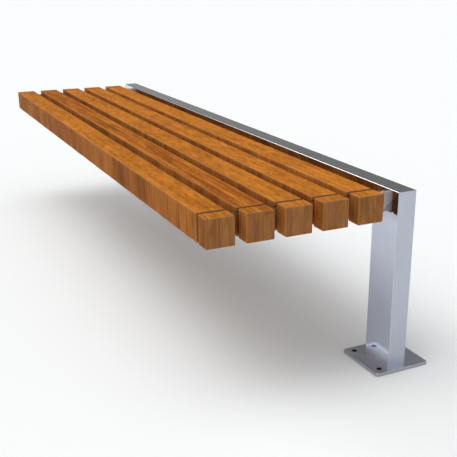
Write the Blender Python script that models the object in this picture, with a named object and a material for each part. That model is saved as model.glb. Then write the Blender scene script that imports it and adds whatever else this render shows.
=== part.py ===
"""Backless cantilever bench.

Five square timber beams run the length of the seat. A flat steel arm at each end carries them in
front of a polished box-section frame: two posts on base plates, joined along the top by a rail with
mitred corners. Each arm lies in a narrow slot between the end of the beams and a row of short end
blocks. One coach screw and two dowel pins at each beam end hold beam, arm and block together.

Metres, +Z up. X runs along the seat, -Y is its front edge, and the origin is the centre of the
footprint on the ground. The right end is the +X end, and beams are numbered from the front.
"""

import math

import bmesh
import bpy

# Fits
TOUCH_GAP = 0.0003  # between pieces that touch
BORE_CLEARANCE = 0.0003
BORE_END_SPACE = 0.002  # past the end of a screw or a dowel

# Box section of the frame
FRAME_LENGTH = 2.040
FRAME_HEIGHT = 0.450
SECTION_FACE = 0.100  # along X on a post, upright on the rail
SECTION_DEPTH = 0.050  # along Y
SECTION_WALL = 0.004
SECTION_RADIUS = 0.0025
SECTION_INNER_RADIUS = 0.001

# Base plates
PLATE_SIDE = 0.152
PLATE_THICKNESS = 0.008
PLATE_RADIUS = 0.006
PLATE_EDGE = 0.001
ANCHOR_HOLE_RADIUS = 0.0065
ANCHOR_HOLE_INSET = 0.021  # hole centre to plate edge
ANCHOR_HOLES = ((-1, -1), (1, -1), (-1, 1))  # corners with a hole: outwards and back from the centre

# Timber
BEAM_COUNT = 5
BEAM_SIDE = 0.068
BEAM_PITCH = 0.094
BEAM_DROP = 0.003  # beam tops below the rail's top
BEAM_EDGE = 0.003
REAR_GAP = 0.029  # last beam to the posts
END_INSET = 0.016  # timber ends inboard of the posts' outer faces
BLOCK_LENGTH = 0.042

# Arms
ARM_THICKNESS = 0.010
ARM_HEIGHT = 0.050
ARM_SETBACK = 0.009  # arm end behind the front of the seat
ARM_EDGE = 0.0008

# Coach screws
SCREW_RADIUS = 0.005
SCREW_LENGTH = 0.090  # under the head
SCREW_TIP_LENGTH = 0.010
SCREW_TIP_RADIUS = 0.0015
HEAD_ACROSS_FLATS = 0.017
HEAD_HEIGHT = 0.007
HEAD_CHAMFER = 0.001
POCKET_RADIUS = 0.012
POCKET_DEPTH = 0.009

# Dowel pins
DOWEL_RADIUS = 0.004
DOWEL_DEPTH = 0.026  # into the beam and into the block
DOWEL_OFFSET = 0.021  # in front of and behind the screw
DOWEL_CHAMFER = 0.0008

# Fineness of the curves
CORNER_STEPS = 3
TIMBER_EDGE_STEPS = 2
HOLE_SIDES = 24
FASTENER_SIDES = 12
SHARP_ANGLE = math.radians(35)

# Places along X, for the right end
POST_OUTER_X = FRAME_LENGTH / 2
POST_X = POST_OUTER_X - SECTION_FACE / 2
BLOCK_X = POST_OUTER_X - END_INSET - BLOCK_LENGTH / 2
ARM_OUTER_X = BLOCK_X - BLOCK_LENGTH / 2 - TOUCH_GAP
ARM_X = ARM_OUTER_X - ARM_THICKNESS / 2
BEAM_END_X = ARM_OUTER_X - ARM_THICKNESS - TOUCH_GAP

# Places along Y and Z
SEAT_DEPTH = (BEAM_COUNT - 1) * BEAM_PITCH + BEAM_SIDE
FOOTPRINT_DEPTH = SEAT_DEPTH + REAR_GAP + SECTION_DEPTH / 2 + PLATE_SIDE / 2
SEAT_FRONT_Y = -FOOTPRINT_DEPTH / 2
POST_FRONT_Y = SEAT_FRONT_Y + SEAT_DEPTH + REAR_GAP
FRAME_Y = POST_FRONT_Y + SECTION_DEPTH / 2
BEAM_Z = FRAME_HEIGHT - BEAM_DROP - BEAM_SIDE / 2

# End name and the sign of its X
ENDS = (("left", -1), ("right", 1))

# Colour, roughness and metallic value of each material
FINISHES = {
    "post_steel": ((0.66, 0.68, 0.72), 0.22, 1.0),
    "rail_steel": ((0.56, 0.58, 0.60), 0.28, 1.0),
    "base_steel": ((0.56, 0.58, 0.60), 0.30, 1.0),
    "arm_steel": ((0.52, 0.53, 0.56), 0.35, 1.0),
    "fastener_steel": ((0.60, 0.61, 0.62), 0.35, 1.0),
    "beam_timber": ((0.46, 0.22, 0.07), 0.50, 0.0),
    "block_timber": ((0.34, 0.16, 0.06), 0.55, 0.0),
}


def clear_scene():
    for obj in list(bpy.data.objects):
        bpy.data.objects.remove(obj, do_unlink=True)


def make_material(name):
    colour, roughness, metallic = FINISHES[name]
    material = bpy.data.materials.new(name)
    material.use_nodes = True
    shader = material.node_tree.nodes["Principled BSDF"]
    shader.inputs["Base Color"].default_value = (*colour, 1.0)
    shader.inputs["Roughness"].default_value = roughness
    shader.inputs["Metallic"].default_value = metallic
    return material


def rounded_rectangle(width, height, radius):
    """Points (u, v) anticlockwise around a rectangle, the same number in each round corner."""
    points = []
    for corner in range(4):
        u = (width / 2 - radius) * (1 if corner in (0, 3) else -1)
        v = (height / 2 - radius) * (1 if corner in (0, 1) else -1)
        for step in range(CORNER_STEPS + 1):
            angle = (corner + step / CORNER_STEPS) * math.pi / 2
            points.append((u + radius * math.cos(angle), v + radius * math.sin(angle)))
    return points


def point_angles(sides):
    return [2 * math.pi * (side + 0.5) / sides for side in range(sides)]


def circle(radius, sides, u=0.0, v=0.0):
    return [(u + radius * math.cos(a), v + radius * math.sin(a)) for a in point_angles(sides)]


def hexagon(across_flats, sides):
    """Points around a hexagon, at the same angles as those of a circle with as many sides."""
    points = []
    for angle in point_angles(sides):
        off_flat = (angle + math.pi / 6) % (math.pi / 3) - math.pi / 6
        reach = across_flats / 2 / math.cos(off_flat)
        points.append((reach * math.cos(angle), reach * math.sin(angle)))
    return points


def along_x(outline, x):
    return [(x, u, v) for u, v in outline]


def along_z(outline, z):
    return [(u, v, z) for u, v in outline]


def add_loft(bm, rings, hollow=False):
    """Skin a row of rings of equal length: a hollow one closes on itself, others get end caps."""
    loops = [[bm.verts.new(point) for point in ring] for ring in rings]
    pairs = list(zip(loops, loops[1:]))
    if hollow:
        pairs.append((loops[-1], loops[0]))
    else:
        bm.faces.new(loops[0])
        bm.faces.new(loops[-1])
    for first, second in pairs:
        for i in range(len(first)):
            bm.faces.new((first[i - 1], first[i], second[i], second[i - 1]))


def finish_mesh(bm, name, material=None):
    bmesh.ops.recalc_face_normals(bm, faces=bm.faces)
    mesh = bpy.data.meshes.new(name)
    bm.to_mesh(mesh)
    bm.free()
    mesh.shade_smooth()
    mesh.set_sharp_from_angle(angle=SHARP_ANGLE)
    if material:
        mesh.materials.append(material)
    return mesh


def bar_mesh(name, material, sides, edge, steps):
    """Rectangular bar about its own centre, with all its edges eased."""
    bm = bmesh.new()
    bmesh.ops.create_cube(bm, size=1)
    bmesh.ops.scale(bm, vec=sides, verts=bm.verts)
    bmesh.ops.bevel(bm, geom=bm.edges, offset=edge, segments=steps, profile=0.5, affect="EDGES")
    return finish_mesh(bm, name, material)


def place(name, mesh, location, side=1):
    """Add an object, as it is for side 1 and turned half a turn about Z for side -1."""
    obj = bpy.data.objects.new(name, mesh)
    obj.location = location
    obj.rotation_euler.z = 0 if side > 0 else math.pi
    bpy.context.scene.collection.objects.link(obj)
    return obj


def place_cutter(name, mesh, location, side=1):
    cutter = place(name, mesh, location, side)
    cutter.hide_render = True
    cutter.display_type = "WIRE"
    return cutter


def cut(obj, cutter):
    boolean = obj.modifiers.new(cutter.name, "BOOLEAN")
    boolean.operation = "DIFFERENCE"
    boolean.solver = "EXACT"
    boolean.object = cutter


def build_base_plates():
    side = PLATE_SIDE - 2 * PLATE_EDGE
    full = rounded_rectangle(PLATE_SIDE, PLATE_SIDE, PLATE_RADIUS)
    eased = rounded_rectangle(side, side, PLATE_RADIUS - PLATE_EDGE)
    bm = bmesh.new()
    add_loft(bm, [
        along_z(full, 0),
        along_z(full, PLATE_THICKNESS - PLATE_EDGE),
        along_z(eased, PLATE_THICKNESS),
    ])
    plates = finish_mesh(bm, "base_plate", make_material("base_steel"))

    reach = PLATE_SIDE / 2 - ANCHOR_HOLE_INSET
    for end, side in ENDS:
        bm = bmesh.new()
        for outwards, back in ANCHOR_HOLES:
            hole = circle(ANCHOR_HOLE_RADIUS, HOLE_SIDES, side * outwards * reach, back * reach)
            add_loft(bm, [along_z(hole, -PLATE_THICKNESS), along_z(hole, 2 * PLATE_THICKNESS)])
        holes = finish_mesh(bm, f"anchor_holes_{end}")
        centre = (side * POST_X, FRAME_Y, 0)
        plate = place(f"base_plate_{end}", plates, centre)
        cut(plate, place_cutter(f"anchor_holes_{end}", holes, centre))


def box_section_rings(low_end, high_end, ring_at):
    """Rings of a rectangular tube. Each end's place is a function of the wide side's offset."""
    outer = rounded_rectangle(SECTION_FACE, SECTION_DEPTH, SECTION_RADIUS)
    inner_face = SECTION_FACE - 2 * SECTION_WALL
    inner_depth = SECTION_DEPTH - 2 * SECTION_WALL
    inner = rounded_rectangle(inner_face, inner_depth, SECTION_INNER_RADIUS)
    walls = ((outer, low_end), (outer, high_end), (inner, high_end), (inner, low_end))
    return [[ring_at(u, v, end(u)) for u, v in outline] for outline, end in walls]


def build_frame():
    """Posts and rail, cut at 45 degrees where they meet, each half of the seam's gap short."""
    pull_back = TOUCH_GAP / math.sqrt(2)
    foot = PLATE_THICKNESS + TOUCH_GAP
    post_top = FRAME_HEIGHT - SECTION_FACE / 2 - pull_back
    bm = bmesh.new()
    rings = box_section_rings(lambda u: foot, lambda u: post_top + u, lambda u, v, z: (u, v, z))
    add_loft(bm, rings, hollow=True)
    posts = finish_mesh(bm, "post", make_material("post_steel"))
    for end, side in ENDS:
        place(f"post_{end}", posts, (side * POST_X, FRAME_Y, 0), side)

    rail_end = POST_X - pull_back
    bm = bmesh.new()
    rings = box_section_rings(
        lambda u: -rail_end - u, lambda u: rail_end + u, lambda u, v, x: (x, v, u)
    )
    add_loft(bm, rings, hollow=True)
    rail = finish_mesh(bm, "top_rail", make_material("rail_steel"))
    place("top_rail", rail, (0, FRAME_Y, FRAME_HEIGHT - SECTION_FACE / 2))


def build_arms():
    """Flat bars on edge, from the posts' front faces to just behind the front of the seat."""
    front_y = SEAT_FRONT_Y + ARM_SETBACK
    back_y = POST_FRONT_Y - TOUCH_GAP
    sides = (ARM_THICKNESS, back_y - front_y, ARM_HEIGHT)
    arms = bar_mesh("arm", make_material("arm_steel"), sides, ARM_EDGE, 1)
    centre_y = (front_y + back_y) / 2
    return {end: place(f"arm_{end}", arms, (side * ARM_X, centre_y, BEAM_Z)) for end, side in ENDS}


def bore_mesh():
    """What one beam end is drilled for: the screw with its head's pocket, and two dowels."""
    step_x = TOUCH_GAP / 2
    screw_end = SCREW_LENGTH + BORE_END_SPACE
    dowel_end = DOWEL_DEPTH + BORE_END_SPACE
    shank = circle(SCREW_RADIUS + BORE_CLEARANCE, FASTENER_SIDES)
    pocket = circle(POCKET_RADIUS, FASTENER_SIDES)
    bm = bmesh.new()
    add_loft(bm, [
        along_x(shank, -screw_end),
        along_x(shank, step_x),
        along_x(pocket, step_x),
        along_x(pocket, TOUCH_GAP + POCKET_DEPTH),
    ])
    for offset in (-DOWEL_OFFSET, DOWEL_OFFSET):
        dowel = circle(DOWEL_RADIUS + BORE_CLEARANCE, FASTENER_SIDES, offset)
        add_loft(bm, [along_x(dowel, -ARM_THICKNESS - dowel_end), along_x(dowel, dowel_end)])
    return finish_mesh(bm, "bores")


def screw_mesh(steel):
    """Hexagon coach screw along X, with its head just outside the arm's outer face, at x = 0."""
    head = hexagon(HEAD_ACROSS_FLATS, FASTENER_SIDES)
    eased_head = hexagon(HEAD_ACROSS_FLATS - 2 * HEAD_CHAMFER, FASTENER_SIDES)
    shank = circle(SCREW_RADIUS, FASTENER_SIDES)
    bm = bmesh.new()
    add_loft(bm, [
        along_x(eased_head, TOUCH_GAP + HEAD_HEIGHT),
        along_x(head, TOUCH_GAP + HEAD_HEIGHT - HEAD_CHAMFER),
        along_x(head, TOUCH_GAP),
        along_x(shank, TOUCH_GAP),
        along_x(shank, SCREW_TIP_LENGTH - SCREW_LENGTH),
        along_x(circle(SCREW_TIP_RADIUS, FASTENER_SIDES), -SCREW_LENGTH),
    ])
    return finish_mesh(bm, "coach_screw", steel)


def dowel_mesh(steel):
    """Plain pin along X, about the middle of the arm."""
    half = ARM_THICKNESS / 2 + DOWEL_DEPTH
    body = circle(DOWEL_RADIUS, FASTENER_SIDES)
    tip = circle(DOWEL_RADIUS - DOWEL_CHAMFER, FASTENER_SIDES)
    bm = bmesh.new()
    add_loft(bm, [
        along_x(tip, -half),
        along_x(body, DOWEL_CHAMFER - half),
        along_x(body, half - DOWEL_CHAMFER),
        along_x(tip, half),
    ])
    return finish_mesh(bm, "dowel", steel)


def build_seat(arms):
    """Beams, end blocks and their fasteners. One set of bores drills beam, arm and block."""
    beam_sides = (2 * BEAM_END_X, BEAM_SIDE, BEAM_SIDE)
    block_sides = (BLOCK_LENGTH, BEAM_SIDE, BEAM_SIDE)
    beam_timber = make_material("beam_timber")
    block_timber = make_material("block_timber")
    beams = bar_mesh("seat_beam", beam_timber, beam_sides, BEAM_EDGE, TIMBER_EDGE_STEPS)
    blocks = bar_mesh("end_block", block_timber, block_sides, BEAM_EDGE, TIMBER_EDGE_STEPS)
    fastener_steel = make_material("fastener_steel")
    bores = bore_mesh()
    screws = screw_mesh(fastener_steel)
    dowels = dowel_mesh(fastener_steel)
    for number in range(1, BEAM_COUNT + 1):
        y = SEAT_FRONT_Y + BEAM_SIDE / 2 + (number - 1) * BEAM_PITCH
        beam = place(f"seat_beam_{number}", beams, (0, y, BEAM_Z))
        for end, side in ENDS:
            block = place(f"end_block_{end}_{number}", blocks, (side * BLOCK_X, y, BEAM_Z))
            arm_face = (side * ARM_OUTER_X, y, BEAM_Z)
            bore = place_cutter(f"bores_{end}_{number}", bores, arm_face, side)
            for drilled in (beam, arms[end], block):
                cut(drilled, bore)
            place(f"coach_screw_{end}_{number}", screws, arm_face, side)
            for position, offset in (("front", -DOWEL_OFFSET), ("back", DOWEL_OFFSET)):
                centre = (side * ARM_X, y + offset, BEAM_Z)
                place(f"dowel_{end}_{number}_{position}", dowels, centre)


def main():
    clear_scene()
    build_base_plates()
    build_frame()
    build_seat(build_arms())


main()
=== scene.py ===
"""Looks of the backless bench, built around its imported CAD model.

The timber, the box-section frame and the base plates are replaced by finer meshes of the same outer
size. The arms, coach screws and dowel pins stay as they are in the CAD model, with better materials,
and each arm gets a small weld.
Metres, +Z up. X runs along the seat, and -Y is its front edge.
"""

import math

import bmesh
import bpy
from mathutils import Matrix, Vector, noise


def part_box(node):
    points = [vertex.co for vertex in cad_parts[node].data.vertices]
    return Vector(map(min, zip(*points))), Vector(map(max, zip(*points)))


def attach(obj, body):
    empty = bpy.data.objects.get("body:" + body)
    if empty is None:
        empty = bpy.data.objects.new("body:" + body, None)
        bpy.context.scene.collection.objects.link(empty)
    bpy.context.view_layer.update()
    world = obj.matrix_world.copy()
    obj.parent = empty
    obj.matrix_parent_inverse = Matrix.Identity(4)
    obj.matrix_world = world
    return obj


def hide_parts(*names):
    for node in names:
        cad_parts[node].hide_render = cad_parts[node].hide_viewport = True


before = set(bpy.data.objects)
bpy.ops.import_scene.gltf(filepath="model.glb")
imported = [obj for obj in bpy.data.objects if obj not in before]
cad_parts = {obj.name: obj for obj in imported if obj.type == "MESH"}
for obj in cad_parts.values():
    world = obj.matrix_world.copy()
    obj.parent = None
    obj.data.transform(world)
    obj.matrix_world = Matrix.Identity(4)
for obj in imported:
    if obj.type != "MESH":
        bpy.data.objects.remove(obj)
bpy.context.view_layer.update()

ENDS = (("left", -1), ("right", 1))
BEAM_NUMBERS = range(1, 6)
SHARP_ANGLE = math.radians(40)

# Timber shapes
TIMBER_EDGE = 0.0028
TIMBER_LEAST_EDGE = TIMBER_EDGE * 0.15  # where the long edges run out into an end
TIMBER_EDGE_STEPS = 4
TIMBER_EDGE_TURN = 0.9  # how much of a quarter turn the edges of an end make
TIMBER_SIDE_STEPS = 8
TIMBER_STATION = 0.016
TIMBER_RELIEF = 0.00022
RELIEF_SCALE = (9.0, 30.0)  # how often the relief repeats per metre, along and across
RELIEF_SEED_STEP = 5.3
TIMBER_EDGE_WEAR = 0.0007
WEAR_SCALE = (24.0, 90.0)
WORN_SHARE = 0.1  # how far in from an edge the wear reaches, of a half side
# The pale rounded timber edges, partly wear and partly a painted highlight along the bevels: the mesh
# layer that marks them, and how far in they reach
EDGE_LAYER = "edge"
PALE_EDGE = 1.25 * TIMBER_EDGE
SCREW_RADIUS = 0.005
BORE_CLEARANCE = 0.0003
BORE_OVERRUN = 0.002
BORE_SIDES = 24
POCKET_RADIUS = 0.012
POCKET_DEPTH = 0.009

# Steel shapes
SECTION_WALL = 0.004
SECTION_RADIUS = 0.0021
SECTION_INNER_RADIUS = 0.001
SECTION_STEPS = 6
CORNER_ROUNDING = 0.002
CORNER_TURNS = [math.radians(angle) for angle in (0, 15, 30, 45)]
SUPPORT = 0.0004
MERGE_DISTANCE = 1e-6
PLATE_RADIUS = 0.006
PLATE_STEPS = 8
PLATE_EDGE = 0.0012
PLATE_EDGE_TURNS = [math.radians(angle) for angle in (0, 22.5, 45, 67.5, 90)]
PLATE_LOWER_EDGE = 0.0004
ANCHOR_HOLE_RADIUS = 0.0065
ANCHOR_HOLE_INSET = 0.021
# the corners of a base plate that have a hole: outwards and back from its centre
ANCHOR_HOLES = ((-1, -1), (1, -1), (-1, 1))
HOLE_CHAMFER = 0.0003
HOLE_OVERRUN = 0.01
HOLE_SIDES = 40
WELD_LEG = 0.0035
WELD_END = 0.25  # how much of the leg is left where the weld starts and stops
WELD_RIPPLE = 0.00025
WELD_RIPPLE_STATIONS = 4
WELD_STEP = 0.0008
WELD_INSET = 0.004
WELD_IN_ARM = 0.0004
WELD_IN_POST = 0.0001
# points on the weld's hollow face: out from the arm and forwards from the post, in legs
WELD_FACE = ((0.3, 0.5), (0.6, 0.24))

# How closely a surface looks one way, as a cosine, where that side's look starts and where it is full
TIMBER_FACING = (0.55, 0.8)
ZONE_FACING = (0.6, 0.8)

# Timber colours. A pair is the darkest and the lightest, and the others are laid over them.
TOP_COLOURS = ((0.25, 0.076, 0.008), (0.62, 0.215, 0.026))
VEIN_COLOUR = (0.34, 0.073, 0.013)
UNDERSIDE_COLOUR = (0.15, 0.082, 0.044)
SIDE_COLOURS = ((0.155, 0.046, 0.0085), (0.375, 0.135, 0.026))
SIDE_RED = (0.33, 0.072, 0.011)
SIDE_PLUM = (0.21, 0.084, 0.028)
END_COLOURS = ((0.155, 0.060, 0.018), (0.34, 0.138, 0.041))
END_PLUM = (0.205, 0.082, 0.047)
# colour of the pale edges: wear, and a painted highlight where the bevels catch the light
WEAR_AND_HIGHLIGHT_EDGE_COLOUR = (0.47, 0.23, 0.085)

# Finishes
SEED_STEP = (3.17, 1.71, 2.33)
TIMBER_BUMP = 0.0003
MARK_RANGE = (0.3, 0.7)  # where the noise of the grinding marks counts as darkest and lightest
ROUGHNESS_RANGE = (0.75, 1.3)  # a steel's roughness where it is smoothest and roughest


# Node trees -------------------------------------------------------------------------------------


class Nodes:
    """Shorthand for writing a node tree. An input is a constant or another node's output."""

    def __init__(self, tree):
        self.tree = tree
        tree.nodes.clear()

    def add(self, kind, inputs=None, **settings):
        node = self.tree.nodes.new(kind)
        for name, value in settings.items():
            setattr(node, name, value)
        for key, value in (inputs or {}).items():
            self.put(node.inputs[key], value)
        return node

    def put(self, socket, value):
        if isinstance(value, bpy.types.NodeSocket):
            self.tree.links.new(value, socket)
        else:
            socket.default_value = value

    def math(self, operation, a, b=0.0):
        return self.add("ShaderNodeMath", {0: a, 1: b}, operation=operation).outputs[0]

    def vector(self, operation, a, b):
        return self.add("ShaderNodeVectorMath", {0: a, 1: b}, operation=operation).outputs[0]

    def scaled(self, point, scale, offset=(0.0, 0.0, 0.0)):
        return self.vector("ADD", self.vector("MULTIPLY", point, scale), offset)

    def noise(self, point, detail, rough, distortion=0.0):
        """Noise from 0 to 1. The point is scaled by how often the pattern repeats per metre."""
        inputs = {"Vector": point, "Scale": 1.0, "Detail": detail, "Roughness": rough}
        inputs["Distortion"] = distortion
        return self.add("ShaderNodeTexNoise", inputs, noise_dimensions="3D").outputs["Fac"]

    def spread(self, value, low, high):
        """0 where a value is at low, 1 where it is at high, and an eased step between them."""
        inputs = {0: value, 1: low, 2: high, 3: 0.0, 4: 1.0}
        return self.add("ShaderNodeMapRange", inputs, interpolation_type="SMOOTHSTEP").outputs[0]

    def line(self, value, low, high, to_low, to_high):
        """A value carried over in a straight line from one range to another."""
        inputs = {0: value, 1: low, 2: high, 3: to_low, 4: to_high}
        return self.add("ShaderNodeMapRange", inputs).outputs[0]

    def part(self, vector, axis):
        return self.add("ShaderNodeSeparateXYZ", {0: vector}).outputs[axis]

    def facing(self, vector, towards):
        """How far a vector points one way: 1 when it is fully that way, and -1 when it is opposite."""
        inputs = {0: vector, 1: towards}
        return self.add("ShaderNodeVectorMath", inputs, operation="DOT_PRODUCT").outputs["Value"]

    def mix(self, share, a, b):
        """Colour a, with the given share of colour b over it. 6 and 7 are the node's colour sockets."""
        node = self.add("ShaderNodeMix", data_type="RGBA")
        for index, value in ((0, share), (6, a), (7, b)):
            self.put(node.inputs[index], (*value, 1.0) if isinstance(value, tuple) else value)
        return node.outputs[2]

    def blend(self, share, a, b):
        """The same for two values. 2 and 3 are the node's value sockets."""
        node = self.add("ShaderNodeMix", {0: share, 2: a, 3: b}, data_type="FLOAT")
        return node.outputs[0]


def times(values, factor):
    return tuple(factor * value for value in values)


def new_material(name):
    material = bpy.data.materials.new(name)
    material.use_nodes = True
    return material, Nodes(material.node_tree)


def finish_shader(nodes, bump_height, bump_distance, inputs):
    bump = nodes.add("ShaderNodeBump", {"Strength": 1.0, "Distance": bump_distance, "Height": bump_height})
    shader = nodes.add("ShaderNodeBsdfPrincipled", {**inputs, "Normal": bump.outputs[0]})
    nodes.add("ShaderNodeOutputMaterial", {"Surface": shader.outputs[0]})


def timber_material(name, seed, tone, redness, streakiness, side_tone_and_gap_light, end_tone):
    """Oiled hardwood. Its figure runs along X on top and underneath, and upright on the other faces."""
    material, n = new_material(name)
    coords = n.add("ShaderNodeTexCoord")
    point = n.vector("ADD", coords.outputs["Object"], times(SEED_STEP, seed))
    normal = coords.outputs["Normal"]
    on_end = n.spread(n.math("ABSOLUTE", n.part(normal, "X")), *TIMBER_FACING)
    on_side = n.spread(n.math("ABSOLUTE", n.part(normal, "Y")), *TIMBER_FACING)
    # how much of the pale edge colour a point gets: wear, and a painted highlight along the bevels
    edge_wear_and_highlight = n.add("ShaderNodeAttribute", attribute_name=EDGE_LAYER).outputs["Fac"]

    def total(*parts):
        """Sum of noise fields times their weights, about 0.5."""
        value = 0.5 - 0.5 * sum(weight for _, weight in parts)
        for field, weight in parts:
            value = n.math("ADD", n.math("MULTIPLY", field, weight), value)
        return value

    def overlay(base, field, low, high, strength, colour):
        """The base colour, with another laid over it as a field goes from low to high."""
        return n.mix(n.math("MULTIPLY", n.spread(field, low, high), strength), base, colour)

    # Top and underside: long streaks, short flecks and a soft slanting mottle
    streaks = n.noise(n.scaled(point, (3.0, 95.0, 95.0)), 5.0, 0.62, 0.3)
    flecks = n.noise(n.scaled(point, (60.0, 300.0, 300.0)), 3.0, 0.6)
    sideways = n.add("ShaderNodeCombineXYZ", {0: n.part(point, "Y")}).outputs[0]
    slanting = n.vector("ADD", point, n.scaled(sideways, (1.2, 0.0, 0.0)))
    mottle = n.noise(n.scaled(slanting, (22.0, 60.0, 60.0)), 4.0, 0.65, 0.8)
    patches = n.noise(n.scaled(point, (5.5, 15.0, 15.0)), 3.0, 0.55, 0.5)
    shade_of_top = total((streaks, streakiness), (flecks, 0.8), (mottle, 1.3), (patches, 0.7))
    dark, light = (times(colour, tone) for colour in TOP_COLOURS)
    top = n.mix(n.spread(shade_of_top, 0.0, 1.0), dark, light)
    veins = n.noise(n.scaled(point, (3.0, 85.0, 85.0), (4.0, 1.0, 7.0)), 5.0, 0.62, 0.4)
    top = overlay(top, veins, 0.60 - redness, 0.70 - redness, 0.85, times(VEIN_COLOUR, tone))
    top = overlay(top, n.part(normal, "Z"), *(-f for f in TIMBER_FACING), 0.85, UNDERSIDE_COLOUR)

    # Front and back: upright bars in broad bands of brown, red and plum
    bars = n.noise(n.scaled(point, (170.0, 8.0, 9.0)), 5.0, 0.68)
    bands = n.noise(n.scaled(point, (11.0, 4.0, 3.0)), 3.0, 0.6, 0.3)
    tints = n.noise(n.scaled(point, (34.0, 8.0, 9.0), (5.0, 9.0, 2.0)), 4.0, 0.62, 0.3)
    # the sides' tone holds painted light for the beams whose sides face into the shaded gaps
    dark, light = (times(colour, side_tone_and_gap_light) for colour in SIDE_COLOURS)
    side = n.mix(n.spread(total((bars, 1.7), (bands, 1.2)), 0.15, 0.85), dark, light)
    side = overlay(side, tints, 0.52, 0.70, 0.6, times(SIDE_RED, side_tone_and_gap_light))
    side = overlay(side, tints, 0.48, 0.32, 0.5, times(SIDE_PLUM, side_tone_and_gap_light))

    # Ends: fine upright lines
    lines = n.noise(n.scaled(point, (9.0, 230.0, 11.0)), 5.0, 0.65)
    rings = n.noise(n.scaled(point, (9.0, 42.0, 16.0)), 3.0, 0.6, 0.5)
    dark, light = (times(colour, end_tone) for colour in END_COLOURS)
    end = n.mix(n.spread(total((lines, 1.4), (rings, 1.1)), 0.15, 0.85), dark, light)
    plum = n.noise(n.scaled(point, (9.0, 24.0, 24.0), (3.0, 8.0, 1.0)), 3.0, 0.6, 0.4)
    end = overlay(end, plum, 0.5, 0.66, 0.5, END_PLUM)

    colour = n.mix(on_end, n.mix(on_side, top, side), end)
    colour = n.mix(n.math("MULTIPLY", edge_wear_and_highlight, 0.6), colour, WEAR_AND_HIGHLIGHT_EDGE_COLOUR)

    # Open pores along X on top, and fine upright fibres on the other faces
    pores = n.noise(n.scaled(point, (90.0, 1100.0, 1100.0)), 2.0, 0.5)
    fibres = n.noise(n.scaled(point, (700.0, 700.0, 40.0)), 2.0, 0.5)
    upright = n.math("MAXIMUM", on_end, on_side)
    height = n.blend(upright, n.math("ADD", pores, streaks), n.math("ADD", fibres, bars))
    roughness = n.line(n.math("ADD", mottle, flecks), 0.6, 1.4, 0.42, 0.62)
    inputs = {"Base Color": colour, "Roughness": roughness, "Specular IOR Level": 0.01}
    finish_shader(n, height, TIMBER_BUMP, inputs)
    return material


def steel_material(
    name, colour, metallic, roughness, brushing, brush_depth, contrast=0.08, faces=(), zones=()
):
    """Ground and polished steel. brushing is how often the grinding marks repeat per metre along X, Y
    and Z. faces are sides with a colour of their own, painted light or shade on what they reflect:
    where each one looks, its colour, and how closely a surface looks that way where its colour starts
    and where it is full. zones are stretches of one side with their own painted light or shade and
    finish: the axis they lie along, where they start and where they are full, where the side looks, and
    their metallic value, roughness and colour."""
    material, n = new_material(name)
    coords = n.add("ShaderNodeTexCoord")
    point, normal = coords.outputs["Object"], coords.outputs["Normal"]
    marks = n.noise(n.scaled(point, brushing), 4.0, 0.6)
    cloud = n.noise(n.scaled(point, (13.0, 13.0, 9.0)), 4.0, 0.55, 0.4)
    specks = n.noise(n.scaled(point, (260.0, 260.0, 260.0)), 2.0, 0.5)
    tone = n.math("ADD", n.math("MULTIPLY", marks, 0.6), n.math("MULTIPLY", cloud, 0.4))
    wear = n.math("ADD", n.math("MULTIPLY", marks, 0.5), n.math("MULTIPLY", cloud, 0.5))

    def marked(middle):
        """A colour that goes a little darker and lighter along the grinding marks."""
        return n.mix(n.spread(tone, *MARK_RANGE), times(middle, 1 - contrast), times(middle, 1 + contrast))

    def uneven(middle):
        smoothest, roughest = times(ROUGHNESS_RANGE, middle)
        return n.line(wear, *MARK_RANGE, smoothest, roughest)

    base, rough = marked(colour), uneven(roughness)
    # painted light or shade: each face's own colour, lightening or darkening what it reflects
    for towards, face_painted_colour, start, full in faces:
        share = n.spread(n.facing(normal, towards), start, full)
        base = n.mix(share, base, marked(face_painted_colour))
    # painted light or shade on a stretch of one side, with a finish of its own
    for axis, start, full, towards, zone_metallic, zone_roughness, zone_painted_colour in zones:
        on_face = n.spread(n.facing(normal, towards), *ZONE_FACING)
        share = n.math("MULTIPLY", n.spread(n.part(point, axis), start, full), on_face)
        base = n.mix(share, base, zone_painted_colour)
        metallic = n.blend(share, metallic, zone_metallic)
        rough = n.blend(share, rough, uneven(zone_roughness))
    height = n.math("ADD", marks, n.math("MULTIPLY", specks, 0.15))
    inputs = {"Base Color": base, "Metallic": metallic, "Roughness": rough}
    finish_shader(n, height, brush_depth, inputs)
    return material


def matt_material(name, colour):
    """Matt from above, and clear from below."""
    material, n = new_material(name)
    matt = n.add("ShaderNodeBsdfDiffuse", {"Color": (*colour, 1.0)})
    clear = n.add("ShaderNodeBsdfTransparent")
    below = n.add("ShaderNodeNewGeometry").outputs["Backfacing"]
    both = n.add("ShaderNodeMixShader", {0: below, 1: matt.outputs[0], 2: clear.outputs[0]})
    n.add("ShaderNodeOutputMaterial", {"Surface": both.outputs[0]})
    return material


# Meshes -----------------------------------------------------------------------------------------


def rounded_rectangle(width, height, radius, steps, side_steps=1, support=0.0):
    """Points (u, v) anticlockwise round a rectangle. The straight sides have side_steps parts, and
    with a support distance two more points hold their ends flat."""
    points = []
    for corner in range(4):
        sign_u = 1 if corner in (0, 3) else -1
        sign_v = 1 if corner in (0, 1) else -1
        centre = Vector((sign_u * (width / 2 - radius), sign_v * (height / 2 - radius)))
        arc = []
        for step in range(steps + 1):
            angle = (corner + step / steps) * math.pi / 2
            arc.append(centre + radius * Vector((math.cos(angle), math.sin(angle))))
        length = (width if corner % 2 == 0 else height) - 2 * radius
        along = Vector((-math.sin(angle), math.cos(angle)))
        points += arc
        if support:
            points += [arc[-1] + along * support, arc[-1] + along * (length - support)]
        points += [arc[-1] + along * length * step / side_steps for step in range(1, side_steps)]
    return [tuple(p) for p in points]


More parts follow.
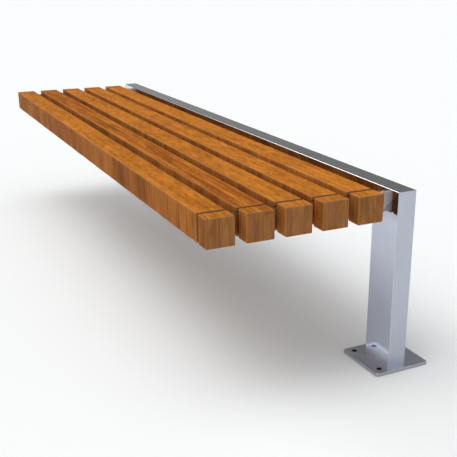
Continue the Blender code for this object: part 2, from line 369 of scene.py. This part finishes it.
def add_loft(bm, rings, closed=False):
    """Faces from each ring to the next. The last ring joins the first if closed, and otherwise both are
    capped."""
    loops = [[bm.verts.new(point) for point in ring] for ring in rings]
    pairs = list(zip(loops, loops[1:]))
    if closed:
        pairs.append((loops[-1], loops[0]))
    else:
        bm.faces.new(loops[0])
        bm.faces.new(loops[-1])
    for first, second in pairs:
        for i in range(len(first)):
            bm.faces.new((first[i - 1], first[i], second[i], second[i - 1]))


def make_object(name, bm, material):
    mesh = bpy.data.meshes.new(name)
    bm.to_mesh(mesh)
    bm.free()
    mesh.materials.append(material)
    obj = bpy.data.objects.new(name, mesh)
    bpy.context.scene.collection.objects.link(obj)
    return obj


def make_piece(name, bm, material):
    bmesh.ops.recalc_face_normals(bm, faces=bm.faces)
    piece = make_object(name, bm, material)
    return piece


def shade(obj):
    obj.data.shade_smooth()
    obj.data.set_sharp_from_angle(angle=SHARP_ANGLE)


def carve(obj, cutter_bm, wall_material=None):
    """Take the cutter's shape out of obj, for good. The cut faces can have a material of their own."""
    bmesh.ops.recalc_face_normals(cutter_bm, faces=cutter_bm.faces)
    cutter = make_object("cutter", cutter_bm, obj.data.materials[0])
    if wall_material:
        for piece in (obj, cutter):
            piece.data.materials.append(wall_material)
        for face in cutter.data.polygons:
            face.material_index = 1
    boolean = obj.modifiers.new("carve", "BOOLEAN")
    boolean.operation = "DIFFERENCE"
    boolean.solver = "EXACT"
    boolean.object = cutter
    bpy.context.view_layer.update()
    evaluated = obj.evaluated_get(bpy.context.evaluated_depsgraph_get())
    carved = bpy.data.meshes.new_from_object(evaluated)
    obj.modifiers.clear()
    obj.data = carved
    bpy.data.objects.remove(cutter, do_unlink=True)


def circle(radius, sides, u=0.0, v=0.0):
    angles = (2 * math.pi * (side + 0.5) / sides for side in range(sides))
    return [(u + radius * math.cos(a), v + radius * math.sin(a)) for a in angles]


def timber_outline(size, inset):
    radius = max(TIMBER_EDGE - inset, TIMBER_LEAST_EDGE)
    side = size - 2 * inset
    return rounded_rectangle(side, side, radius, TIMBER_EDGE_STEPS, TIMBER_SIDE_STEPS)


def timber_ring(x, centre, size, inset, seed):
    """One ring of a beam, planed a little unevenly and with its long edges rubbed down here and there."""
    ring = []
    half = size / 2 - inset
    along, across = RELIEF_SCALE
    wear_along, wear_across = WEAR_SCALE
    for u, v in timber_outline(size, inset):
        at = Vector((x * along, u * across + seed * RELIEF_SEED_STEP, v * across))
        depth = TIMBER_RELIEF * (0.5 + 0.5 * noise.noise(at))
        near_edge = min(abs(u), abs(v)) / half
        if near_edge > 1 - WORN_SHARE:
            # rounded, so that all the points round one edge wear alike
            edge_u, edge_v = round(u, 2) * wear_across + seed, round(v, 2) * wear_across
            wear = noise.noise(Vector((x * wear_along, edge_u, edge_v)))
            depth += TIMBER_EDGE_WEAR * max(0.0, wear) * (near_edge - (1 - WORN_SHARE)) / WORN_SHARE
        scale = 1 - depth / half
        ring.append((x, centre.y + u * scale, centre.z + v * scale))
    return ring


def timber_mesh(low, high, seed):
    centre = (low + high) / 2
    size = high.z - low.z
    bm = bmesh.new()
    eased = []
    for step in range(TIMBER_EDGE_STEPS + 1):
        angle = step / TIMBER_EDGE_STEPS * math.pi / 2 * TIMBER_EDGE_TURN
        eased.append((TIMBER_EDGE * (1 - math.sin(angle)), TIMBER_EDGE * (1 - math.cos(angle))))
    # from the end face inwards: how far each ring is from the end, and how far in from the sides
    start = [(reach, inset) for reach, inset in reversed(eased)]
    start = [(reach - start[0][0], inset) for reach, inset in start]
    inner = high.x - low.x - 2 * start[-1][0]
    parts = max(2, round(inner / TIMBER_STATION))
    places = [(low.x + reach, inset) for reach, inset in start]
    places += [(low.x + start[-1][0] + inner * i / parts, 0.0) for i in range(1, parts)]
    places += [(high.x - reach, inset) for reach, inset in reversed(start)]
    add_loft(bm, [timber_ring(x, centre, size, inset, seed) for x, inset in places])
    # mark the pale edges: wear, and a painted highlight along the bevels
    layer = bm.verts.layers.float.new(EDGE_LAYER)
    for vert in bm.verts:
        gaps = sorted(min(c - a, b - c) for a, c, b in zip(low, vert.co, high))
        vert[layer] = max(0.0, 1 - gaps[1] / PALE_EDGE)
    return bm


def bore_cutter(side, number):
    """The holes for one coach screw with its head and two dowel pins, from where those are."""
    end = "right" if side > 0 else "left"
    screw_low, screw_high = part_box(f"coach_screw_{end}_{number}")
    arm_low, arm_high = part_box(f"arm_{end}")
    centre = (screw_low + screw_high) / 2
    arm_face = arm_high.x if side > 0 else arm_low.x
    tip = screw_low.x if side > 0 else screw_high.x
    shank = SCREW_RADIUS + BORE_CLEARANCE
    bm = bmesh.new()

    def ring(outline, x):
        return [(x, centre.y + u, centre.z + v) for u, v in outline]

    step = arm_face + side * BORE_CLEARANCE / 2
    add_loft(bm, [
        ring(circle(shank, BORE_SIDES), tip - side * BORE_OVERRUN),
        ring(circle(shank, BORE_SIDES), step),
        ring(circle(POCKET_RADIUS, BORE_SIDES), step),
        ring(circle(POCKET_RADIUS, BORE_SIDES), arm_face + side * POCKET_DEPTH),
    ])
    for position in ("front", "back"):
        low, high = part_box(f"dowel_{end}_{number}_{position}")
        radius = (high.z - low.z) / 2 + BORE_CLEARANCE
        outline = circle(radius, BORE_SIDES, (low.y + high.y) / 2 - centre.y)
        add_loft(bm, [ring(outline, low.x - BORE_OVERRUN), ring(outline, high.x + BORE_OVERRUN)])
    return bm


def build_timber():
    for number in BEAM_NUMBERS:
        tone, *look = TIMBER_LOOKS[number]
        beam_material = timber_material(f"timber_{number}", number, tone, *look)
        block_material = timber_material(f"block_timber_{number}", number, BLOCK_TONE * tone, *look)
        pieces = [(f"seat_beam_{number}", "beam_timber", beam_material, (-1, 1))]
        for end, side in ENDS:
            pieces.append((f"end_block_{end}_{number}", "block_timber", block_material, (side,)))
        for node, slot, material, sides in pieces:
            bm = timber_mesh(*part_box(node), number)
            piece = make_piece("timber_" + node, bm, material)
            for side in sides:
                carve(piece, bore_cutter(side, number))
            shade(piece)
            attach(piece, "root")
            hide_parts(node)


def box_section():
    """The frame's box section, from the rail: its face, the middle of its depth, its top, and its outer
    and inner outline."""
    low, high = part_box("top_rail")
    face, depth = high.z - low.z, high.y - low.y
    outer = rounded_rectangle(face, depth, SECTION_RADIUS, SECTION_STEPS, support=SUPPORT)
    inner_face, inner_depth = face - 2 * SECTION_WALL, depth - 2 * SECTION_WALL
    inner = rounded_rectangle(
        inner_face, inner_depth, SECTION_INNER_RADIUS, SECTION_STEPS, support=SUPPORT
    )
    return face, (low.y + high.y) / 2, high.z, outer, inner


def make_tube(name, rings, slot, node):
    """A hollow steel piece in place of a CAD node. Its rings go along the outside and back on the
    inside."""
    bm = bmesh.new()
    add_loft(bm, rings, closed=True)
    bmesh.ops.remove_doubles(bm, verts=bm.verts, dist=MERGE_DISTANCE)
    piece = make_piece(name, bm, STEELS[slot])
    shade(piece)
    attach(piece, "root")
    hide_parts(node)


def build_posts():
    """Each post meets the rail in a ground-flush mitre, and their outer corner is slightly rounded."""
    face, centre_y, top, outer, inner = box_section()
    for end, side in ENDS:
        post_low, post_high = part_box(f"post_{end}")
        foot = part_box(f"base_plate_{end}")[1].z
        reach = max(abs(post_low.x), abs(post_high.x))

        def post_point(u, v, turn, lower=0.0):
            """The top end of the post's side at offset u from its centre line, outwards, and v."""
            x = min(reach - face / 2 + u, reach - CORNER_ROUNDING * (1 - math.cos(turn)))
            limit = top - CORNER_ROUNDING * (1 - math.sin(turn)) - lower
            return side * x, centre_y + v, min(top - reach + x, limit)

        def at_foot(outline):
            return [(side * (reach - face / 2 + u), centre_y + v, foot) for u, v in outline]

        rings = [at_foot(outer), [post_point(u, v, 0.0, SUPPORT) for u, v in outer]]
        rings += [[post_point(u, v, turn) for u, v in outer] for turn in CORNER_TURNS]
        rings += [[post_point(u, v, CORNER_TURNS[-1]) for u, v in inner], at_foot(inner)]
        make_tube(f"steel_post_{end}", rings, "post_steel", f"post_{end}")


def build_rail():
    face, centre_y, top, outer, inner = box_section()
    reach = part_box("top_rail")[1].x
    upright = math.pi / 2
    turns = [upright - turn for turn in CORNER_TURNS]

    def rail_point(side, u, v, turn, lower=0.0):
        """An end of the rail's side at offset u from its centre line, upwards, and v."""
        z = min(top - face / 2 + u, top - CORNER_ROUNDING * (1 - math.sin(turn)))
        limit = reach - CORNER_ROUNDING * (1 - math.cos(turn)) - lower
        return side * min(reach - top + z, limit), centre_y + v, z

    rings = [[rail_point(-1, u, v, turn) for u, v in outer] for turn in reversed(turns)]
    rings += [[rail_point(side, u, v, upright, SUPPORT) for u, v in outer] for side in (-1, 1)]
    rings += [[rail_point(1, u, v, turn) for u, v in outer] for turn in turns]
    rings += [[rail_point(side, u, v, turns[-1]) for u, v in inner] for side in (1, -1)]
    make_tube("steel_top_rail", rings, "rail_steel", "top_rail")


def anchor_places(side, width):
    """Where a base plate's holes are, from its centre. side is -1 for the left plate, 1 for the right."""
    reach = width / 2 - ANCHOR_HOLE_INSET
    return [(side * outwards * reach, back * reach) for outwards, back in ANCHOR_HOLES]


def build_base_plates():
    for end, side in ENDS:
        low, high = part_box(f"base_plate_{end}")
        centre = (low + high) / 2
        width = high.x - low.x

        def ring(outline, z):
            return [(centre.x + u, centre.y + v, z) for u, v in outline]

        def outline(inset):
            size = width - 2 * inset
            return rounded_rectangle(size, size, PLATE_RADIUS - inset, PLATE_STEPS, support=SUPPORT)

        rings = [ring(outline(PLATE_LOWER_EDGE), low.z), ring(outline(0.0), low.z + PLATE_LOWER_EDGE)]
        for turn in PLATE_EDGE_TURNS:
            z = high.z - PLATE_EDGE * (1 - math.sin(turn))
            rings.append(ring(outline(PLATE_EDGE * (1 - math.cos(turn))), z))
        bm = bmesh.new()
        add_loft(bm, rings)
        piece = make_piece(f"steel_base_plate_{end}", bm, STEELS["base_steel"])
        cutter = bmesh.new()
        for u, v in anchor_places(side, width):
            hole = circle(ANCHOR_HOLE_RADIUS, HOLE_SIDES, u, v)
            flare = circle(ANCHOR_HOLE_RADIUS + 2 * HOLE_CHAMFER, HOLE_SIDES, u, v)
            add_loft(cutter, [
                ring(hole, low.z - HOLE_OVERRUN),
                ring(hole, high.z - HOLE_CHAMFER),
                ring(flare, high.z + HOLE_CHAMFER),
            ])
        carve(piece, cutter, STEELS["hole_shade_steel"])
        shade(piece)
        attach(piece, "root")
        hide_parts(f"base_plate_{end}")


def build_arm_welds():
    """A small fillet weld up the inner side of each arm, where it meets the front face of the post."""
    for end, side in ENDS:
        low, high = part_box(f"arm_{end}")
        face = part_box(f"post_{end}")[0].y
        inner_x = low.x if side > 0 else high.x
        bottom, top = low.z + WELD_INSET, high.z - WELD_INSET
        stations = round((top - bottom) / WELD_STEP)
        rings = []
        for station in range(stations + 1):
            z = bottom + (top - bottom) * station / stations
            taper = min(1.0, WELD_END + min(z - bottom, top - z) / WELD_LEG)
            ripple = WELD_RIPPLE * math.sin(2 * math.pi * station / WELD_RIPPLE_STATIONS)
            leg = WELD_LEG * taper + ripple
            profile = [(-WELD_IN_ARM, -WELD_IN_POST), (-WELD_IN_ARM, leg)]
            profile += [(leg * out, leg * forwards) for out, forwards in WELD_FACE]
            profile.append((leg, -WELD_IN_POST))
            rings.append([(inner_x - side * out, face - forwards, z) for out, forwards in profile])
        bm = bmesh.new()
        add_loft(bm, rings)
        piece = make_piece(f"arm_weld_{end}", bm, STEELS["weld_steel"])
        shade(piece)
        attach(piece, "root")


def dress_cad_nodes():
    """The arms and the hidden fasteners keep their CAD shapes."""
    for name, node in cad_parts.items():
        if name.startswith("arm_"):
            slot = "arm_steel"
        elif name.startswith(("coach_screw_", "dowel_")):
            slot = "fastener_steel"
        else:
            continue
        node.data.materials.clear()
        node.data.materials.append(STEELS[slot])


# Studio -----------------------------------------------------------------------------------------

FLOOR_HALF = 60.0
FLOOR_DROP = 0.0005
FLOOR_OPENING_INSET = 0.004
FLOOR_ALBEDO = 0.85
FLOOR_TINT = (0.99, 1.0, 1.003)
# near black for the discs under the anchor holes: painted shade
HOLE_SHADE_COLOUR = (0.006, 0.006, 0.007)
CAMERA_PLACE = Vector((2.42138, -0.87839, 0.92497))
CAMERA_AIM = Vector((-0.84142, 0.41985, -0.34021))
CAMERA_SENSOR = 36.0
CAMERA_LENS = 61.75
CAMERA_SHIFT = (-0.0600, 0.0570)
CAMERA_CLIP = 200.0

SKY_COLOUR = (0.993, 1.0, 1.003, 1.0)
SKY_BASE = 0.421
SKY_HORIZON = 0.82
SKY_HORIZON_POWER = 5.125
SKY_STRENGTH = 1.0 / FLOOR_ALBEDO
# azimuth and elevation in degrees, sharpness and strength
KEY_LIGHT = (204.4, 69.7, 9.72, 12.56)
DARK_FLAG = (170.0, 49.0, 1.99, 1.0)
STRIP_LIGHT = (203.0, 30.0, 70.0, 5.0)


def direction(azimuth, elevation):
    a, e = math.radians(azimuth), math.radians(elevation)
    return math.cos(e) * math.cos(a), math.cos(e) * math.sin(a), math.sin(e)


def build_floor():
    """A plain floor, open where the base plates stand on it so that they can be seen from below."""
    plates = [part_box(f"base_plate_{end}") for end, _ in ENDS]
    inset = FLOOR_OPENING_INSET
    xs = [-FLOOR_HALF, FLOOR_HALF]
    for low, high in plates:
        xs += [low.x + inset, high.x - inset]
    ys = [-FLOOR_HALF, plates[0][0].y + inset, plates[0][1].y - inset, FLOOR_HALF]
    xs.sort()
    bm = bmesh.new()
    grid = [[bm.verts.new((x, y, -FLOOR_DROP)) for y in ys] for x in xs]
    for i in range(len(xs) - 1):
        for j in range(len(ys) - 1):
            under_plate = j == 1 and i in (1, 3)
            if not under_plate:
                bm.faces.new((grid[i][j], grid[i + 1][j], grid[i + 1][j + 1], grid[i][j + 1]))
    material = matt_material("floor", times(FLOOR_TINT, FLOOR_ALBEDO))
    make_object("floor", bm, material)


def build_hole_shade_discs():
    """A dark disc under each open anchor hole: painted shade down the hole."""
    material = matt_material("hole_shade_disc", HOLE_SHADE_COLOUR)
    for end, side in ENDS:
        low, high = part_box(f"base_plate_{end}")
        centre = (low + high) / 2
        bm = bmesh.new()
        for u, v in anchor_places(side, high.x - low.x):
            outline = circle(ANCHOR_HOLE_RADIUS, BORE_SIDES, centre.x + u, centre.y + v)
            bm.faces.new([bm.verts.new((x, y, -FLOOR_DROP / 2)) for x, y in outline])
        make_object(f"hole_shade_disc_{end}", bm, material)


def build_sky():
    """Soft studio light, bright at the horizon, with a broad key light, a dark flag and a strip light."""
    world = bpy.data.worlds.new("studio")
    world.use_nodes = True
    n = Nodes(world.node_tree)
    view = n.add("ShaderNodeTexCoord").outputs["Generated"]
    height = n.math("MAXIMUM", n.part(view, "Z"), 0.0)

    def lobe(azimuth, elevation, sharpness, strength):
        towards = n.math("MAXIMUM", n.facing(view, direction(azimuth, elevation)), 0.0)
        return n.math("MULTIPLY", n.math("POWER", towards, sharpness), strength)

    horizon = n.math("POWER", n.math("SUBTRACT", 1.0, height), SKY_HORIZON_POWER)
    light = n.math("ADD", n.math("MULTIPLY", horizon, SKY_HORIZON), SKY_BASE)
    light = n.math("ADD", light, lobe(*KEY_LIGHT))
    light = n.math("MULTIPLY", light, n.math("SUBTRACT", 1.0, lobe(*DARK_FLAG)))
    light = n.math("ADD", light, lobe(*STRIP_LIGHT))
    light = n.math("MULTIPLY", light, SKY_STRENGTH)
    shader = n.add("ShaderNodeBackground", {"Color": SKY_COLOUR, "Strength": light})
    n.add("ShaderNodeOutputWorld", {"Surface": shader.outputs[0]})
    bpy.context.scene.world = world


def build_camera():
    data = bpy.data.cameras.new("camera")
    data.sensor_width = CAMERA_SENSOR
    data.lens = CAMERA_LENS
    data.shift_x, data.shift_y = CAMERA_SHIFT
    data.clip_end = CAMERA_CLIP
    camera = bpy.data.objects.new("camera", data)
    camera.location = CAMERA_PLACE
    camera.rotation_mode = "QUATERNION"
    camera.rotation_quaternion = CAMERA_AIM.to_track_quat("-Z", "Y")
    bpy.context.scene.collection.objects.link(camera)
    bpy.context.scene.camera = camera


# Tone, redness and streakiness of each beam's top, and tone of its sides and of its ends, from the front.
# The sides of the beams behind the front one are lighter: partly their own tone, partly painted light
# in the shaded gaps between the beams.
TIMBER_LOOKS = {
    1: (0.98, -0.01, 0.8, 1.0, 0.97),
    2: (0.84, 0.12, 3.2, 1.25, 0.85),
    3: (0.97, -0.02, 0.8, 1.22, 1.03),
    4: (0.98, -0.01, 0.8, 1.28, 1.0),
    5: (1.00, 0.01, 0.8, 1.50, 0.97),
}
BLOCK_TONE = 0.93

UP, DOWN = (0, 0, 1), (0, 0, -1)
FRONT, BACK = (0, -1, 0), (0, 1, 0)
LEFT, RIGHT = (-1, 0, 0), (1, 0, 0)
# The front and back of a post are lighter than its other sides: painted light on what they reflect.
POST_FACE_PAINTED_LIGHT = (0.553, 0.601, 0.704)
POST_HEAD = (0.375, 0.392)  # heights between which the front of a post changes to a full mirror in a darker colour, without the painted light below
# dark brown on the top and bottom of an arm: painted shade, with a painted reflection of the timber round
# it
ARM_EDGE_SHADE_COLOUR = (0.24, 0.18, 0.14)
ARM_TAIL = (0.155, 0.165)  # places in Y between which an arm's sides change to a pale satin stretch near the post: painted light, with a rougher finish
STEELS = {
    "post_steel": steel_material(
        "post_steel", (0.465, 0.495, 0.565), metallic=0.64, roughness=0.07,
        brushing=(300.0, 300.0, 6.0), brush_depth=0.000001, contrast=0.04,
        faces=[(side, POST_FACE_PAINTED_LIGHT, 0.6, 0.8) for side in (FRONT, BACK)],
        zones=[("Z", *POST_HEAD, FRONT, 1.0, 0.07, (0.44, 0.46, 0.55))]),
    # The rail's top is painted darker, its front lighter, and its back and underside like the posts:
    # painted shade and light on what each face reflects. The light front colour runs round onto the top
    # front edge as a painted highlight.
    "rail_steel": steel_material(
        "rail_steel", (0.70, 0.69, 0.70), metallic=1.0, roughness=0.13,
        brushing=(420.0, 9.0, 9.0), brush_depth=0.000008, contrast=0.08,
        faces=[(UP, (0.318, 0.322, 0.327), 0.86, 0.98), (DOWN, (0.46, 0.49, 0.56), 0.5, 0.8),
               (BACK, (0.52, 0.565, 0.655), 0.3, 0.7)]),
    # The top of a base plate is painted lighter and bluer than its edges: painted light on what it
    # reflects.
    "base_steel": steel_material(
        "base_steel", (0.40, 0.415, 0.455), metallic=1.0, roughness=0.14,
        brushing=(200.0, 200.0, 200.0), brush_depth=0.000003, contrast=0.12,
        faces=[(UP, (0.86, 0.88, 0.97), 0.6, 0.8)]),
    # The walls of the anchor holes: painted shade, nearly black.
    "hole_shade_steel": steel_material(
        "hole_shade_steel", (0.03, 0.03, 0.032), metallic=0.6, roughness=0.5,
        brushing=(200.0, 200.0, 600.0), brush_depth=0.00001),
    "arm_steel": steel_material(
        "arm_steel", (0.60, 0.60, 0.64), metallic=1.0, roughness=0.10,
        brushing=(8.0, 8.0, 400.0), brush_depth=0.000001, contrast=0.05,
        faces=[(side, ARM_EDGE_SHADE_COLOUR, 0.15, 0.5) for side in (UP, DOWN)],
        zones=[("Y", *ARM_TAIL, side, 0.40, 0.34, (0.86, 0.86, 0.91)) for side in (LEFT, RIGHT)]),
    "weld_steel": steel_material(
        "weld_steel", (0.42, 0.43, 0.46), metallic=1.0, roughness=0.28,
        brushing=(600.0, 600.0, 600.0), brush_depth=0.00003, contrast=0.12),
    "fastener_steel": steel_material(
        "fastener_steel", (0.5, 0.51, 0.52), metallic=1.0, roughness=0.3,
        brushing=(20.0, 500.0, 500.0), brush_depth=0.00002),
}

build_timber()
build_posts()
build_rail()
build_base_plates()
build_arm_welds()
dress_cad_nodes()
build_floor()
build_hole_shade_discs()
build_sky()
build_camera()
bpy.context.scene.view_settings.view_transform = "Standard"
